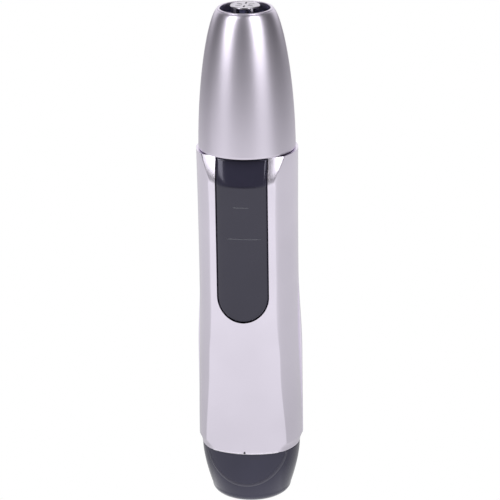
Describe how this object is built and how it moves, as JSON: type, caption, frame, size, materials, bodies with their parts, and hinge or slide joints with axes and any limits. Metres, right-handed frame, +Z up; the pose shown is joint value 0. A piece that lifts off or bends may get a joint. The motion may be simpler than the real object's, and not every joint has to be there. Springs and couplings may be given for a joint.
{
  "type": "nose hair trimmer",
  "caption": "Slim cordless nose hair trimmer: silver handle with a long dark press button, lift-off cap, twist-off rotary cutting head and twist-off battery base.",
  "frame": {"origin": "on the trimmer's long axis, at the flat face of the base that it stands on", "axes": "+Z up the axis towards the cutter's tip, the power button faces -Y, +X to the right of the button"},
  "size_m": [0.0288, 0.0275, 0.14],
  "materials": {
    "silver_shell": "satin metallic silver paint, fine grain",
    "silver_cap": "satin metallised silver",
    "dark_panel": "satin, glossy where it bends",
    "dark_base": "satin moulded",
    "black_plastic": "fine spark texture",
    "grey_plastic": "moulded",
    "white_plastic": "moulded",
    "rubber": "smooth",
    "cutter_steel": "ground and polished",
    "spring_steel": "drawn wire",
    "motor_steel": "zinc plated",
    "ferrite": "sintered",
    "lamination": "stacked sheet",
    "copper": "enamelled wire",
    "bronze": "sintered bronze",
    "contact_brass": "nickel-flashed",
    "cell_jacket": "printed sleeve, plain",
    "board_green": "solder mask",
    "wire_red": "insulated wire",
    "wire_black": "insulated wire"
  },
  "bodies": {
    "handle": {"front_shell": "silver_shell", "rear_shell": "silver_shell", "neck_collar": "black_plastic", "cap_grip_ring": "rubber", "base_ring": "grey_plastic", "battery_sleeve": "grey_plastic", "battery_cell": "cell_jacket", "positive_contact": "contact_brass", "negative_strip": "contact_brass", "motor_frame": "grey_plastic", "motor_can": "motor_steel", "motor_magnets": "ferrite", "motor_end_cap": "white_plastic", "motor_terminals": "contact_brass", "front_bush": "bronze", "rear_bush": "bronze", "circuit_board": "board_green", "board_screws": "spring_steel", "tact_switch": "black_plastic", "motor_leads": "wire_red", "battery_leads": "wire_black", "shaft_seal": "rubber", "button_springs": "spring_steel"},
    "rotor": {"motor_shaft": "spring_steel", "armature_core": "lamination", "armature_coils": "copper", "commutator": "copper", "drive_coupler": "white_plastic"},
    "button": {"power_button": "dark_panel"},
    "plunger": {"switch_plunger": "white_plastic"},
    "cap": {"protective_cap": "silver_cap"},
    "head": {"head_housing": "black_plastic", "cutter_tube": "cutter_steel", "shaft_bush": "bronze"},
    "blade": {"blade_shaft": "spring_steel", "rotary_blade": "cutter_steel", "blade_spring": "spring_steel", "shaft_clip": "spring_steel"},
    "base": {"base_cap": "dark_base", "base_seal": "rubber", "spring_plate": "contact_brass", "battery_spring": "spring_steel"}
  },
  "joints": [
    {"name": "cap_lift", "type": "slide", "parent": "handle", "child": "cap", "axis": [0, 0, 1], "range_m": [0, 0.045]},
    {"name": "head_twist", "type": "hinge", "parent": "handle", "child": "head", "pos_m": [0, 0, 0.1], "axis": [0, 0, 1], "range_deg": [0, 30]},
    {"name": "motor_spin", "type": "hinge", "parent": "handle", "child": "rotor", "pos_m": [0, 0, 0.08], "axis": [0, 0, 1], "continuous": true},
    {"name": "blade_spin", "type": "hinge", "parent": "head", "child": "blade", "pos_m": [0, 0, 0.115], "axis": [0, 0, 1], "continuous": true},
    {"name": "button_press", "type": "slide", "parent": "handle", "child": "button", "axis": [0, 1, 0], "range_m": [0, 0.0005], "stiffness_N_per_m": 800, "deforming": ["button_springs"]},
    {"name": "plunger_press", "type": "slide", "parent": "handle", "child": "plunger", "axis": [0, 1, 0], "range_m": [0, 0.0005]},
    {"name": "base_twist", "type": "hinge", "parent": "handle", "child": "base", "pos_m": [0, 0, 0.0156], "axis": [0, 0, 1], "range_deg": [0, 40]}
  ],
  "couplings": [
    {"joint": "blade_spin", "follows": "motor_spin", "ratio": 1},
    {"joint": "plunger_press", "follows": "button_press", "ratio": 1}
  ]
}
